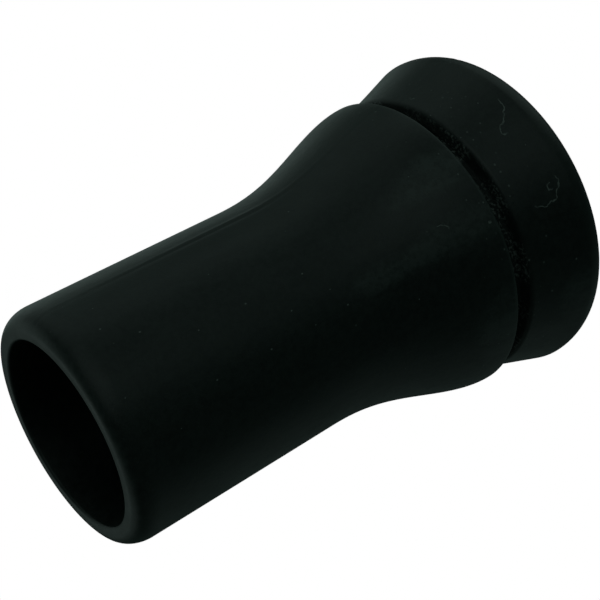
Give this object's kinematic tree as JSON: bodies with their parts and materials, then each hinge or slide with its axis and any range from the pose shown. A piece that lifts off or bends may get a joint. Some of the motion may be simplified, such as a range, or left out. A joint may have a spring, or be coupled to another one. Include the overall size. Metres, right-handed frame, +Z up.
{
  "type": "dust blower bulb",
  "caption": "Rubber squeeze bulb with an open nozzle mouth, waisted tube, belled shoulder, finger groove and flared foot with a spring-loaded air inlet valve.",
  "frame": {"origin": "centre of the circle that the base rim stands on, at the bottom of the part", "axes": "+Z up the axis of revolution from the base rim to the open mouth; X and Y are square to it and alike, because the bulb is round"},
  "size_m": [0.035, 0.035, 0.054],
  "materials": {
    "black_rubber": "matte moulded rubber, slightly dusty",
    "cap_rubber": "matte moulded rubber, lint in the groove",
    "seal_rubber": "soft grey seal rubber",
    "turned_brass": "turned, fine lathe rings",
    "spring_steel": "drawn wire and stamped strip",
    "screen_wire": "woven stainless wire"
  },
  "bodies": {
    "base": {"end_cap": "cap_rubber", "valve_housing": "turned_brass", "dust_screen": "screen_wire", "screen_ring": "turned_brass", "valve_spring": "spring_steel"},
    "bulb": {"bulb_body": "black_rubber"},
    "valve": {"valve_disc": "seal_rubber", "valve_stem": "turned_brass", "stem_clip": "spring_steel"}
  },
  "joints": [
    {"name": "bulb_squeeze", "type": "slide", "parent": "base", "child": "bulb", "axis": [0, 0, -1], "range_m": [0, 0.006], "stiffness_N_per_m": 1200, "deforming": ["bulb_body"]},
    {"name": "valve_lift", "type": "slide", "parent": "base", "child": "valve", "axis": [0, 0, 1], "range_m": [0, 0.0012], "stiffness_N_per_m": 20, "springref_m": -0.0005, "deforming": ["valve_spring"]}
  ]
}
